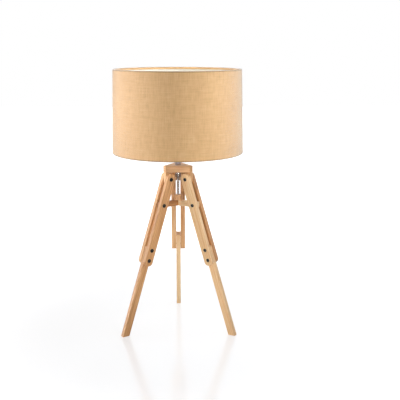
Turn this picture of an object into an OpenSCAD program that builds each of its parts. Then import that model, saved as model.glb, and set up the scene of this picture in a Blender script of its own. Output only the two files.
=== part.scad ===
// Tripod table lamp: a wooden tripod with split legs, a Y spreader on a tie rod,
// a screw-in lampholder on a short chrome stem, and a fabric drum shade.
// Millimetres, +Z up. The origin is on the floor, on the axis of the tripod.
// One leg points to the back (+Y), the other two to the left front and the right front.

/* [Legs] */
// Angle between a leg and the vertical
leg_splay = 18; // [14:0.1:19]
// Width of a cheek, seen on its broad face
cheek_w = 20; // [16:0.5:24]
// Thickness of a cheek
cheek_t = 11; // [8:0.5:13]
// How far a cheek runs on past its end screws
cheek_end = 13.2; // [10.5:0.1:16]
// Width of a pole, seen on its broad face
pole_w = 16.5; // [11:0.5:18]
// Thickness of a pole, and of the tongues and spreader arms between the cheeks
pole_t = 10.4; // [8:0.1:14]
// How far a pole runs up past the upper clamp screw
pole_head = 6.5; // [5:0.5:30]
// From the pivot screw down the leg to the spreader screw
spreader_drop = 62; // [52:1:75]
// From the pivot screw down the leg to the upper clamp screw
clamp_drop = 169; // [140:1:185]
// Distance between the two clamp screws
clamp_pitch = 24; // [18:1:32]
// Clearance on each side of a pole, tongue or arm
side_gap = 0.2; // [0.1:0.05:0.4]
// Bevel along the edges of the timber
edge_cut = 0.8; // [0.3:0.1:1.5]

/* [Head] */
// Height of the underside of the head block above the floor
head_z = 374.8; // [360:0.2:390]
// Thickness of the head block
head_t = 15; // [12:0.5:20]
// Distance from the axis to each cut corner of the head block
head_r = 36; // [34:0.5:40]
// Distance from the axis to the pivot screws
pivot_r = 27; // [26:0.1:30]
// How far the pivot screws lie under the head block
pivot_drop = 15.5; // [14.5:0.1:18]
// Width of a tongue, along the head's radius
tongue_w = 18; // [15:0.5:22]
// How far a tongue runs on below its pivot screw
tongue_end = 11; // [8.5:0.5:13]
// Radius of a tongue's lower corners
tongue_round = 6; // [2:0.5:7]

/* [Spreader] */
// Height of the spreader's section
arm_h = 13; // [10:0.5:16]
// Diameter of the turned boss on the middle of the spreader
boss_d = 20; // [16:0.5:26]
// Height of the turned boss
boss_h = 12.5; // [9:0.5:18]
// Diameter of the tie rod between the head block and the spreader
rod_d = 6; // [4:0.5:8]
// Wood left under the tie rod's lower end
rod_floor = 3; // [2:0.5:6]
// Clearance round a rod, tube or screw in its hole
hole_gap = 0.15; // [0.05:0.05:0.3]

/* [Screws] */
// Diameter of the screw heads
screw_head_d = 9; // [6:0.5:11]
// Diameter of the sleeve nut heads
nut_head_d = 8; // [6:0.5:10]
// Depth of the heads, which sit flush in the cheeks
screw_head_t = 3; // [2:0.5:4]
// Diameter of a screw's shank
screw_d = 4; // [3:0.5:4.5]
// Diameter of the sleeve on a sleeve nut
sleeve_d = 5.6; // [5:0.1:6.5]
// How far the screw runs into the sleeve
screw_engage = 6; // [4:0.5:6.5]
// Width across the flats of the hexagon socket
hex_af = 2.5; // [2:0.5:3]
// How far the heads lie below the face of the cheek
head_sunk = 0.2; // [0:0.05:0.5]

/* [Stem] */
// Diameter of the threaded nipple through the head block
nipple_d = 10; // [8:0.5:12]
// Bore of the nipple
nipple_bore = 7.6; // [5:0.1:7.8]
// Diameter of the coupling nut that joins the tie rod to the nipple
coupler_d = 13; // [12.5:0.5:16]
// Length of the coupling nut
coupler_h = 12; // [9:0.5:16]
// Diameter of the washer under the head block
washer_d = 18; // [16:0.5:24]
// Thickness of the washer
washer_t = 1.5; // [1:0.1:2.5]
// Diameter of the chrome stem collar
collar_d = 13.6; // [12.5:0.1:16]
// Length of the stem collar
collar_h = 14; // [10:0.5:16]

/* [Lampholder] */
// Height of the lampholder's cap
cap_h = 20; // [18:0.5:26]
// Diameter of the lampholder's body
body_d = 42; // [40.5:0.5:46]
// Height of the body from the cap to the top of the flange
body_h = 15; // [12:0.5:20]
// Diameter of the flange that carries the shade
flange_d = 48; // [46:0.5:54]
// Thickness of the flange
flange_t = 3; // [2:0.5:5]
// Outer diameter of the threaded skirt
skirt_d = 39.5; // [39:0.1:40]
// Height of the threaded skirt above the flange
skirt_h = 31; // [24:1:40]
// Pitch of the thread on the skirt
skirt_pitch = 3; // [2:0.5:4]
// Depth of the thread on the skirt
thread_depth = 0.6; // [0.3:0.1:1]
// Wall of the cap and the skirt
holder_wall = 2.2; // [1.6:0.1:2.6]
// Bore of the metal screw shell that takes the bulb
socket_d = 26.6; // [26.2:0.1:26.8]
// Thickness of the screw shell
shell_t = 0.5; // [0.3:0.1:0.8]
// Wall of the ceramic insert
insert_wall = 2; // [1.5:0.1:2.4]
// Floor of the ceramic insert
insert_floor = 6; // [4:0.5:8]
// Room under the screw shell for the centre contact
contact_room = 5; // [4.5:0.5:7]
// Width of the ledges that the insert and the shell stand on
ledge_w = 1.6; // [1:0.1:2]
// How far the insert and the shell end below the top of the skirt
mouth_drop = 4; // [2:0.5:8]
// Height of the lead's outlet above the underside of the cap
gland_rise = 9; // [8:0.5:10]
// Bore of the gland for the supply lead
gland_bore = 6.4; // [5:0.1:7.5]
// Outer diameter of the gland
gland_d = 9.4; // [8.5:0.1:10.5]
// How far the gland stands out from the axis
gland_reach = 27; // [24:0.5:34]

/* [Shade ring] */
// Outer diameter of the ring that clamps the shade
ring_d = 57; // [53:0.5:62]
// Height of the ring
ring_h = 9; // [6:0.5:12]
// Radial clearance between the ring and the skirt
ring_gap = 0.35; // [0.3:0.05:0.6]
// Number of grip notches round the ring
ring_notches = 24; // [12:1:36]

/* [Shade] */
// Outer diameter of the drum shade at its lower edge
shade_d = 300; // [260:5:340]
// Outer diameter of the drum shade at its upper edge
shade_top_d = 292.6; // [250:0.2:340]
// Height of the drum shade
shade_h = 190; // [150:5:230]
// How far the lampholder's flange lies above the shade's lower edge
shade_drop = 19; // [10:0.5:30]
// Thickness of the fabric
fabric_t = 0.6; // [0.4:0.1:1]
// Thickness of the glue between the fabric and the liner
glue_t = 0.1; // [0.05:0.05:0.3]
// Thickness of the stiff liner behind the fabric
liner_t = 0.6; // [0.4:0.1:1]
// Diameter of the wire in the two rings and the spokes
wire_d = 4; // [3:0.5:5]
// Height of the hem turned in over each ring
hem_h = 5.2; // [5:0.1:16]
// Outer diameter of the fitter's collar, wide enough for the ring to stand clear of the spokes
fitter_d = 60; // [58:0.5:64]
// Bore of the fitter's collar
fitter_bore = 42.4; // [41:0.1:44]
// Thickness of the fitter's collar
fitter_t = 2; // [1.5:0.1:3]

/* [Hidden] */
$fn = 64;
eps = 0.01;
// How far a cut runs on past the face that it starts from
past = 1;

// Directions of the legs and of the spokes, seen from above
REAR = 90;
LEFT = REAR + 120;
RIGHT = REAR + 240;
LEG_ANGLES = [REAR, LEFT, RIGHT];

beech = [0.80, 0.62, 0.42];
beech_light = [0.88, 0.74, 0.55];
black_steel = [0.06, 0.05, 0.05];
zinc = [0.72, 0.71, 0.69];
chrome = [0.80, 0.80, 0.82];
black_plastic = [0.09, 0.09, 0.09];
porcelain = [0.93, 0.92, 0.89];
brass = [0.80, 0.65, 0.32];
white_enamel = [0.93, 0.93, 0.91];
linen = [0.85, 0.70, 0.53];
liner_white = [0.97, 0.95, 0.89];

// Legs: places along the leg are counted down from the pivot screw
pivot_z = head_z - pivot_drop;
cheek_gap = pole_t + 2 * side_gap;
cheek_side = cheek_gap / 2 + cheek_t;
clamp_low = clamp_drop + clamp_pitch;
cheek_round = cheek_w / 2;
pole_top = clamp_drop - pole_head;
pole_far = (pivot_z + pole_w) / cos(leg_splay) + pole_w;

// Spreader: its arms lie on the height of the spreader screws
spreader_z = pivot_z - spreader_drop * cos(leg_splay);
spreader_screw_r = pivot_r + spreader_drop * sin(leg_splay);
arm_reach = spreader_screw_r - (arm_h / 2) * tan(leg_splay) + (cheek_w / 2 - edge_cut) / cos(leg_splay);
boss_z = spreader_z + arm_h / 2;

// Stem
coupler_top = head_z - washer_t;
coupler_low = coupler_top - coupler_h;
rod_low = spreader_z - arm_h / 2 + rod_floor;
rod_top = coupler_low + coupler_h / 2 - eps;
nipple_low = coupler_low + coupler_h / 2 + eps;
collar_z = head_z + head_t;
cap_z = collar_z + collar_h;
cap_neck_h = 6;
cap_neck_lip = 2;
cap_neck_d = collar_d + 2 * cap_neck_lip;
cap_rim_h = 4;
cap_step_h = 2;
nipple_top = cap_z + cap_neck_h;

// Lampholder
body_z = cap_z + cap_h;
flange_z = body_z + body_h;
skirt_top = flange_z + skirt_h;
insert_top = skirt_top - mouth_drop;
shell_d = socket_d + 2 * shell_t;
insert_bore = shell_d + 2 * hole_gap;
insert_d = insert_bore + 2 * insert_wall;
ledge_t = 2;
insert_z = body_z + ledge_t;
insert_seat = insert_z + insert_floor;
shell_z = insert_seat + contact_room;
gland_z = cap_z + gland_rise;
gland_sink = 1;
gland_in = cap_neck_d / 2 - gland_sink;
gland_flange_t = 2;
gland_lip = 2;
gland_flange_d = gland_d + 2 * gland_lip;
terminal_inset = 7;
terminal_r = insert_d / 2 - terminal_inset;

// Shade
shade_z = flange_z - shade_drop;
shade_top = shade_z + shade_h;
shade_r = shade_d / 2;
liner_r = shade_r - fabric_t - glue_t;
wire_r = wire_d / 2;
bottom_ring_z = shade_z + fabric_t + wire_r;
top_ring_z = shade_top - fabric_t - wire_r;
ring_centre_r = ring_r(bottom_ring_z);
hem_r = ring_centre_r - wire_r - fabric_t;
fitter_top = flange_z + fitter_t;
weld_gap = 0.01;
spoke_in_r = fitter_d / 2 - wire_r;
spoke_in_z = flange_z + fitter_t / 2;

// How far the shade's wall has come in at a height, and where a wire ring runs inside it.
function come_in(z) = (shade_d - shade_top_d) / 2 * (z - shade_z) / shade_h;
function ring_r(z) = liner_r - liner_t - wire_r - come_in(z);

// Places the children on a leg: local Z runs up the leg, local X points outwards,
// local Y goes anticlockwise round the lamp, and the origin is the pivot screw.
module on_leg(angle) {
    rotate([0, 0, angle])
        translate([pivot_r, 0, pivot_z])
            rotate([0, -leg_splay, 0])
                children();
}

// Extrudes a flat outline drawn in X and Z along Y, from y0 on.
module along_y(y0, length) {
    translate([0, y0 + length, 0])
        rotate([90, 0, 0])
            linear_extrude(length)
                children();
}

// A round bar or hole along Y.
module bar_y(diameter, y0, length) {
    translate([0, y0, 0])
        rotate([-90, 0, 0])
            cylinder(d = diameter, h = length);
}

// A bar's section with bevelled edges, centred on the origin.
module bevelled_section(width, thickness, bevel) {
    x = width / 2;
    y = thickness / 2;
    polygon([
        [x - bevel, -y], [x, -y + bevel], [x, y - bevel], [x - bevel, y],
        [-x + bevel, y], [-x, y - bevel], [-x, -y + bevel], [-x + bevel, -y]
    ]);
}

// Broad face of a cheek: straight sides with a round end past each end screw.
module cheek_outline() {
    round_drop = cheek_end - cheek_round;
    for (z = [round_drop, -clamp_low - round_drop])
        translate([0, z])
            circle(r = cheek_round);
    translate([-cheek_w / 2, -clamp_low - round_drop])
        square([cheek_w, clamp_low + 2 * round_drop]);
}

// Holes for one screw through a cheek. The head side takes the screw's head and shank,
// the nut side takes the sleeve nut. side is 1 for the anticlockwise cheek.
module screw_holes(side) {
    inner = side * cheek_gap / 2;
    outer = side * cheek_side;
    shank = side > 0 ? screw_d : sleeve_d;
    low = min(inner, outer);
    bar_y(shank + 2 * hole_gap, low - past, cheek_t + 2 * past);
    head = side > 0 ? screw_head_d : nut_head_d;
    head_y = side > 0 ? outer - screw_head_t : outer - past;
    bar_y(head + 2 * hole_gap, head_y, screw_head_t + past);
}

// One cheek. side is 1 for the anticlockwise side of the leg and -1 for the other.
module cheek(angle, side) {
    color(side > 0 ? beech : beech_light)
        on_leg(angle)
            difference() {
                intersection() {
                    along_y(side > 0 ? cheek_gap / 2 : -cheek_side, cheek_t)
                        cheek_outline();
                    translate([0, side * (cheek_gap + cheek_t) / 2, -clamp_low - 2 * cheek_end])
                        linear_extrude(clamp_low + 4 * cheek_end)
                            bevelled_section(cheek_w, cheek_t, edge_cut);
                }
                for (drop = [0, spreader_drop, clamp_drop, clamp_low])
                    translate([0, 0, -drop])
                        screw_holes(side);
            }
}

// A pole, clamped between two cheeks and cut level where it stands on the floor.
module pole(angle) {
    color(beech_light)
        intersection() {
            on_leg(angle)
                difference() {
                    translate([0, 0, -pole_far])
                        linear_extrude(pole_far - pole_top)
                            bevelled_section(pole_w, pole_t, edge_cut);
                    for (drop = [clamp_drop, clamp_low])
                        translate([0, -pole_t, -drop])
                            bar_y(screw_d + 2 * hole_gap, 0, 2 * pole_t);
                }
            translate([-shade_d, -shade_d, 0])
                cube([2 * shade_d, 2 * shade_d, head_z]);
        }
}

// A tongue under the head block, which carries one leg on its pivot screw.
module tongue(angle) {
    color(beech_light)
        rotate([0, 0, angle])
            difference() {
                along_y(-pole_t / 2, pole_t)
                    tongue_outline();
                translate([pivot_r, -pole_t, pivot_z])
                    bar_y(screw_d + 2 * hole_gap, 0, 2 * pole_t);
            }
}

module tongue_outline() {
    low = pivot_z - tongue_end;
    inner = head_r - tongue_w;
    translate([inner, low + tongue_round])
        square([tongue_w, head_z - low - tongue_round]);
    translate([inner + tongue_round, low])
        square([tongue_w - 2 * tongue_round, tongue_round + eps]);
    for (x = [inner + tongue_round, head_r - tongue_round])
        translate([x, low + tongue_round])
            circle(r = tongue_round);
}

// The head block: a triangle whose three corners are cut off square to the legs.
module head_block() {
    color(beech)
        difference() {
            translate([0, 0, head_z])
                linear_extrude(head_t)
                    polygon([
                        for (a = LEG_ANGLES, s = [-1, 1])
                            [head_r * cos(a) - s * pole_t / 2 * sin(a),
                             head_r * sin(a) + s * pole_t / 2 * cos(a)]
                    ]);
            translate([0, 0, head_z - past])
                cylinder(d = nipple_d + 2 * hole_gap, h = head_t + 2 * past);
        }
}

// One arm of the Y spreader. The three arms are mitred and glued at the middle.
module spreader_arm(angle) {
    mitre = pole_t / 2 / tan(60);
    color(beech)
        difference() {
            rotate([0, 0, angle])
                difference() {
                    translate([0, 0, spreader_z - arm_h / 2])
                        linear_extrude(arm_h)
                            polygon([
                                [0, 0], [mitre, -pole_t / 2], [arm_reach, -pole_t / 2],
                                [arm_reach, pole_t / 2], [mitre, pole_t / 2]
                            ]);
                    translate([spreader_screw_r, -pole_t, spreader_z])
                        bar_y(screw_d + 2 * hole_gap, 0, 2 * pole_t);
                }
            translate([0, 0, rod_low])
                cylinder(d = rod_d + 2 * hole_gap, h = arm_h);
        }
}

// Turned boss that stands on the mitre and guides the tie rod.
module spreader_boss() {
    bevel = 1;
    color(beech_light)
        difference() {
            translate([0, 0, boss_z])
                rotate_extrude()
                    polygon([
                        [0, 0], [boss_d / 2, 0], [boss_d / 2, boss_h - bevel],
                        [boss_d / 2 - bevel, boss_h], [0, boss_h]
                    ]);
            translate([0, 0, boss_z - past])
                cylinder(d = rod_d + 2 * hole_gap, h = boss_h + 2 * past);
        }
}

// Screw with a flush head and a hexagon socket, for the anticlockwise cheek.
module screw() {
    shank_end = -cheek_gap / 2 - screw_engage;
    hex_floor = 0.8;
    difference() {
        union() {
            bar_y(screw_head_d, cheek_side - screw_head_t, screw_head_t - head_sunk);
            bar_y(screw_d, shank_end, cheek_side - screw_head_t / 2 - shank_end);
        }
        translate([0, cheek_side - screw_head_t + hex_floor, 0])
            rotate([-90, 0, 0])
                cylinder(d = hex_af / cos(30), h = screw_head_t, $fn = 6);
    }
}

// Sleeve nut with a flush slotted head, for the clockwise cheek.
module sleeve_nut() {
    slot_w = 1.2;
    slot_deep = 1;
    tip_gap = 0.3;
    difference() {
        union() {
            bar_y(nut_head_d, -cheek_side + head_sunk, screw_head_t - head_sunk);
            bar_y(sleeve_d, -cheek_side + screw_head_t / 2, cheek_t - screw_head_t / 2 - side_gap);
        }
        bar_y(screw_d + 2 * hole_gap, -cheek_gap / 2 - screw_engage - tip_gap, cheek_t);
        translate([-nut_head_d, -cheek_side - past, -slot_w / 2])
            cube([2 * nut_head_d, past + head_sunk + slot_deep, slot_w]);
    }
}

module screws_at(drops) {
    color(black_steel)
        for (a = LEG_ANGLES, drop = drops)
            on_leg(a)
                translate([0, 0, -drop])
                    screw();
}

module sleeve_nuts_at(drops) {
    color(black_steel)
        for (a = LEG_ANGLES, drop = drops)
            on_leg(a)
                translate([0, 0, -drop])
                    sleeve_nut();
}

module tie_rod() {
    color(zinc)
        translate([0, 0, rod_low])
            cylinder(d = rod_d, h = rod_top - rod_low);
}

// Joins the tie rod below to the nipple above.
module coupling_nut() {
    bevel = 0.8;
    r = coupler_d / 2;
    color(zinc)
        translate([0, 0, coupler_low])
            difference() {
                rotate_extrude()
                    polygon([
                        [0, 0], [r - bevel, 0], [r, bevel],
                        [r, coupler_h - bevel], [r - bevel, coupler_h], [0, coupler_h]
                    ]);
                translate([0, 0, -past])
                    cylinder(d = rod_d + 2 * hole_gap, h = coupler_h);
                translate([0, 0, coupler_h / 2])
                    cylinder(d = nipple_d + 2 * hole_gap, h = coupler_h);
            }
}

module head_washer() {
    color(zinc)
        translate([0, 0, coupler_top])
            tube(washer_d, nipple_d + 2 * hole_gap, washer_t);
}

module tube(outer, inner, height) {
    difference() {
        cylinder(d = outer, h = height);
        translate([0, 0, -past])
            cylinder(d = inner, h = height + 2 * past);
    }
}

module stem_nipple() {
    color(zinc)
        translate([0, 0, nipple_low])
            tube(nipple_d, nipple_bore, nipple_top - nipple_low);
}

module stem_collar() {
    color(chrome)
        translate([0, 0, collar_z])
            tube(collar_d, nipple_d + 2 * hole_gap, collar_h);
}

// The lampholder's cap: a thin cup on a threaded neck, with a side outlet for the lead.
module holder_cap() {
    r = body_d / 2;
    neck = cap_neck_d / 2;
    bore = nipple_d / 2 + hole_gap;
    shoulder = cap_h - cap_rim_h;
    color(black_plastic)
        translate([0, 0, cap_z])
            difference() {
                rotate_extrude()
                    polygon([
                        [bore, 0], [neck, 0], [neck, cap_step_h], [r, shoulder], [r, cap_h],
                        [r - holder_wall, cap_h], [r - holder_wall, shoulder],
                        [gland_in, cap_neck_h], [bore, cap_neck_h]
                    ]);
                translate([0, 0, gland_rise])
                    bar_y(gland_d + 2 * hole_gap, 0, r + past);
            }
}

// Cord grip bush in the cap's side outlet, at the back of the lamp.
module cord_gland() {
    color(black_plastic)
        translate([0, 0, gland_z])
            difference() {
                union() {
                    bar_y(gland_d, gland_in, gland_reach - gland_in);
                    bar_y(gland_flange_d, gland_reach - gland_flange_t, gland_flange_t);
                }
                bar_y(gland_bore, gland_in - past, gland_reach);
            }
}

// Body, flange and threaded skirt of the lampholder.
module holder_skirt() {
    r = skirt_d / 2;
    bore = insert_d / 2 + hole_gap;
    plain_h = 1;
    turns = floor((skirt_h - 2 * plain_h) / skirt_pitch);
    // One thread: how far out (0 root, 1 crest) and how far up, as shares of depth and pitch
    thread = [[0, 0.25], [1, 0.4], [1, 0.75], [0, 0.9]];
    color(black_plastic)
        rotate_extrude()
            polygon(concat(
                [
                    [bore, insert_z], [bore - ledge_w, insert_z], [bore - ledge_w, body_z],
                    [body_d / 2, body_z], [body_d / 2, flange_z - flange_t],
                    [flange_d / 2, flange_z - flange_t], [flange_d / 2, flange_z],
                    [r - thread_depth, flange_z]
                ],
                [for (i = [0 : turns - 1], p = thread)
                    [r - thread_depth * (1 - p[0]), flange_z + plain_h + (i + p[1]) * skirt_pitch]],
                [[r - thread_depth, skirt_top], [bore, skirt_top]]
            ));
}

// Ceramic cup that holds the screw shell and the contacts.
module socket_insert() {
    color(porcelain)
        rotate_extrude()
            polygon([
                [0, insert_z], [insert_d / 2, insert_z], [insert_d / 2, insert_top],
                [insert_bore / 2, insert_top], [insert_bore / 2, shell_z],
                [insert_bore / 2 - ledge_w, shell_z], [insert_bore / 2 - ledge_w, insert_seat],
                [0, insert_seat]
            ]);
}

module socket_shell() {
    color(brass)
        translate([0, 0, shell_z])
            tube(shell_d, socket_d, insert_top - shell_z);
}

// Sprung strip that touches the foot of the bulb.
module centre_contact() {
    strip_w = 6;
    strip_t = 0.6;
    reach = 7;
    foot = 3;
    tip = 2;
    headroom = 1;
    rise = contact_room - headroom;
    color(brass)
        translate([0, 0, insert_seat])
            along_y(-strip_w / 2, strip_w)
                polygon([
                    [-reach, 0], [foot - reach, 0], [tip / 2, rise - strip_t], [tip, rise - strip_t],
                    [tip, rise], [tip / 2 - strip_t / 2, rise],
                    [foot - reach - strip_t / 2, strip_t], [-reach, strip_t]
                ]);
}

module terminal_screws() {
    head_d = 5;
    head_h = 2;
    slot_w = 1;
    slot_deep = 0.8;
    color(brass)
        for (s = [-1, 1])
            translate([s * terminal_r, 0, insert_z - head_h])
                difference() {
                    cylinder(d = head_d, h = head_h);
                    translate([-head_d, -slot_w / 2, -past])
                        cube([2 * head_d, slot_w, past + slot_deep]);
                }
}

// Threaded ring that clamps the shade's fitter on the flange.
module shade_ring() {
    bore = skirt_d + 2 * ring_gap;
    bevel = 1;
    notch_d = 2.4;
    notch_out = 0.4;
    r = ring_d / 2;
    color(black_plastic)
        translate([0, 0, fitter_top])
            difference() {
                rotate_extrude()
                    polygon([
                        [bore / 2, 0], [r, 0], [r, ring_h - bevel],
                        [r - bevel, ring_h], [bore / 2, ring_h]
                    ]);
                for (i = [0 : ring_notches - 1])
                    rotate([0, 0, i * 360 / ring_notches])
                        translate([r + notch_out, 0, -past])
                            cylinder(d = notch_d, h = ring_h + 2 * past, $fn = 24);
            }
}

module fitter_collar() {
    color(white_enamel)
        translate([0, 0, flange_z])
            tube(fitter_d, fitter_bore, fitter_t);
}

// Three straight wires from the bottom ring up to the fitter's collar.
module fitter_spokes() {
    run = ring_centre_r - spoke_in_r;
    drop = spoke_in_z - bottom_ring_z;
    color(white_enamel)
        difference() {
            for (a = LEG_ANGLES)
                rotate([0, 0, a])
                    translate([spoke_in_r, 0, spoke_in_z])
                        rotate([0, 90 + atan(drop / run), 0])
                            cylinder(d = wire_d, h = norm([run, drop]));
            wire_ring(bottom_ring_z, weld_gap);
            translate([0, 0, flange_z - wire_d])
                cylinder(d = fitter_d + 2 * weld_gap, h = 3 * wire_d);
        }
}

module wire_ring(z, grow) {
    rotate_extrude($fn = 96)
        translate([ring_r(z), z])
            circle(r = wire_r + grow, $fn = 32);
}

module shade_bottom_ring() {
    color(white_enamel)
        wire_ring(bottom_ring_z, 0);
}

module shade_top_ring() {
    color(white_enamel)
        wire_ring(top_ring_z, 0);
}

// Stiff white sheet that the fabric is bonded to.
module shade_liner() {
    color(liner_white)
        rotate_extrude($fn = 128)
            wall_section(liner_r, liner_t, shade_z + fabric_t, shade_top - fabric_t);
}

// Section of a wall that comes in with the shade. outer is its outer radius at the lower edge.
module wall_section(outer, thickness, low, high) {
    inner = outer - thickness;
    polygon([
        [inner - come_in(low), low], [outer - come_in(low), low],
        [outer - come_in(high), high], [inner - come_in(high), high]
    ]);
}

// The drum of fabric, turned in over the wire ring at both edges.
module shade_fabric() {
    notch_gap = 1.5;
    notch_w = wire_d + 2 * notch_gap;
    notch_in = 2;
    color(linen)
        difference() {
            rotate_extrude($fn = 128)
                fabric_section();
            for (a = LEG_ANGLES)
                rotate([0, 0, a])
                    translate([hem_r - notch_in, -notch_w / 2, bottom_ring_z - wire_r])
                        cube([fabric_t + notch_in + wire_r / 4, notch_w, hem_h]);
        }
}

module fabric_section() {
    wall_section(shade_r, fabric_t, shade_z, shade_top);
    fold(bottom_ring_z, shade_z, shade_z);
    fold(top_ring_z, shade_top - fabric_t, shade_top - hem_h);
}

// Fabric turned in over a wire ring: flat from edge_z up, then a hem from hem_z up.
module fold(ring_z, edge_z, hem_z) {
    inner = ring_r(ring_z) - wire_r - fabric_t;
    outer = shade_r - fabric_t / 2 - come_in(edge_z);
    translate([inner, edge_z])
        square([outer - inner, fabric_t]);
    translate([inner, hem_z])
        square([fabric_t, hem_h]);
}

head_block();
tongue(LEFT);  // tongue_left
tongue(RIGHT);  // tongue_right
tongue(REAR);  // tongue_rear
cheek(LEFT, 1);  // left_leg_front_cheek
cheek(LEFT, -1);  // left_leg_back_cheek
cheek(RIGHT, -1);  // right_leg_front_cheek
cheek(RIGHT, 1);  // right_leg_back_cheek
cheek(REAR, 1);  // rear_leg_left_cheek
cheek(REAR, -1);  // rear_leg_right_cheek
pole(LEFT);  // left_pole
pole(RIGHT);  // right_pole
pole(REAR);  // rear_pole
screws_at([0]);  // pivot_screws
sleeve_nuts_at([0]);  // pivot_sleeve_nuts
screws_at([spreader_drop]);  // spreader_screws
sleeve_nuts_at([spreader_drop]);  // spreader_sleeve_nuts
screws_at([clamp_drop, clamp_low]);  // clamp_screws
sleeve_nuts_at([clamp_drop, clamp_low]);  // clamp_sleeve_nuts
spreader_arm(LEFT);  // spreader_arm_left
spreader_arm(RIGHT);  // spreader_arm_right
spreader_arm(REAR);  // spreader_arm_rear
spreader_boss();
tie_rod();
coupling_nut();
head_washer();
stem_nipple();
stem_collar();
holder_cap();
cord_gland();
holder_skirt();
socket_insert();
socket_shell();
centre_contact();
terminal_screws();
shade_ring();
fitter_collar();
fitter_spokes();
shade_bottom_ring();
shade_top_ring();
shade_liner();
shade_fabric();
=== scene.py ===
"""Tripod table lamp: the finish of its timber, metal, moulded parts and fabric drum shade.

Everything is in metres, +Z up, with the origin on the floor under the lamp's axis. One leg points to
the back (+Y), the other two to the left front and the right front.
"""

import math

import bmesh
import bpy
from bpy.props import FloatProperty, FloatVectorProperty, IntProperty, PointerProperty
from mathutils import Matrix, Vector, noise


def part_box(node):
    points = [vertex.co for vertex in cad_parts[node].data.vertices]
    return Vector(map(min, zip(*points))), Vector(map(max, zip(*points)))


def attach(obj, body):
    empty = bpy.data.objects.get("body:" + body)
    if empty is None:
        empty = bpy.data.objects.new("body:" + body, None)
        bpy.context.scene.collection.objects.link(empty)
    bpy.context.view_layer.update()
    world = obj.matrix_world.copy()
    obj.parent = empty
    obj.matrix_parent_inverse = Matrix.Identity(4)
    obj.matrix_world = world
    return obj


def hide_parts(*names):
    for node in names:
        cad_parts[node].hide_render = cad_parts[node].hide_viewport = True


bl_info = {
    "name": "Tripod Table Lamp",
    "version": (1, 0, 0),
    "blender": (4, 5, 0),
    "location": "View3D > Sidebar > Lamp",
    "description": "Builds a wooden tripod table lamp with a fabric drum shade",
    "category": "Add Mesh",
}

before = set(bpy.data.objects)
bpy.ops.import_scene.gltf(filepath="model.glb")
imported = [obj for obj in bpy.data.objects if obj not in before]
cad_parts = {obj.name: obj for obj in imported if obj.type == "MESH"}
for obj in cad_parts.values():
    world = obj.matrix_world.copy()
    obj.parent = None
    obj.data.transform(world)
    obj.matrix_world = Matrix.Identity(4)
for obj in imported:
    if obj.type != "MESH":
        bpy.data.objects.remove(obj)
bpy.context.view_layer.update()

MM = 0.001
REAR, LEFT, RIGHT = (math.radians(a) for a in (90, 210, 330))
LEG_ANGLES = (REAR, LEFT, RIGHT)

HEAD_LOW, HEAD_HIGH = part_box("head_block")
FABRIC_LOW, FABRIC_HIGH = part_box("shade_fabric")
WIRE_LOW, WIRE_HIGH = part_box("shade_bottom_ring")
TOP_WIRE_LOW, TOP_WIRE_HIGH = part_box("shade_top_ring")
COLLAR_LOW, COLLAR_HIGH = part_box("fitter_collar")


def linear(code):
    """sRGB hex code to the linear colour that Blender works in."""
    parts = [int(code[i:i + 2], 16) / 255 for i in (0, 2, 4)]
    return [p / 12.92 if p <= 0.04045 else ((p + 0.055) / 1.055) ** 2.4 for p in parts]


def size(name, description, value):
    """A length in metres that a user may change."""
    return FloatProperty(
        name=name, description=description, default=value, min=0, max=1,
        precision=4, subtype="DISTANCE", unit="LENGTH",
    )


def colour(name, description, code):
    """A colour that a user may change, given as an sRGB hex code."""
    return FloatVectorProperty(
        name=name, description=description, default=linear(code), size=3, min=0, max=1, subtype="COLOR",
    )


# ---------------------------------------------------------------------------------------------
# Sizes and colours


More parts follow.
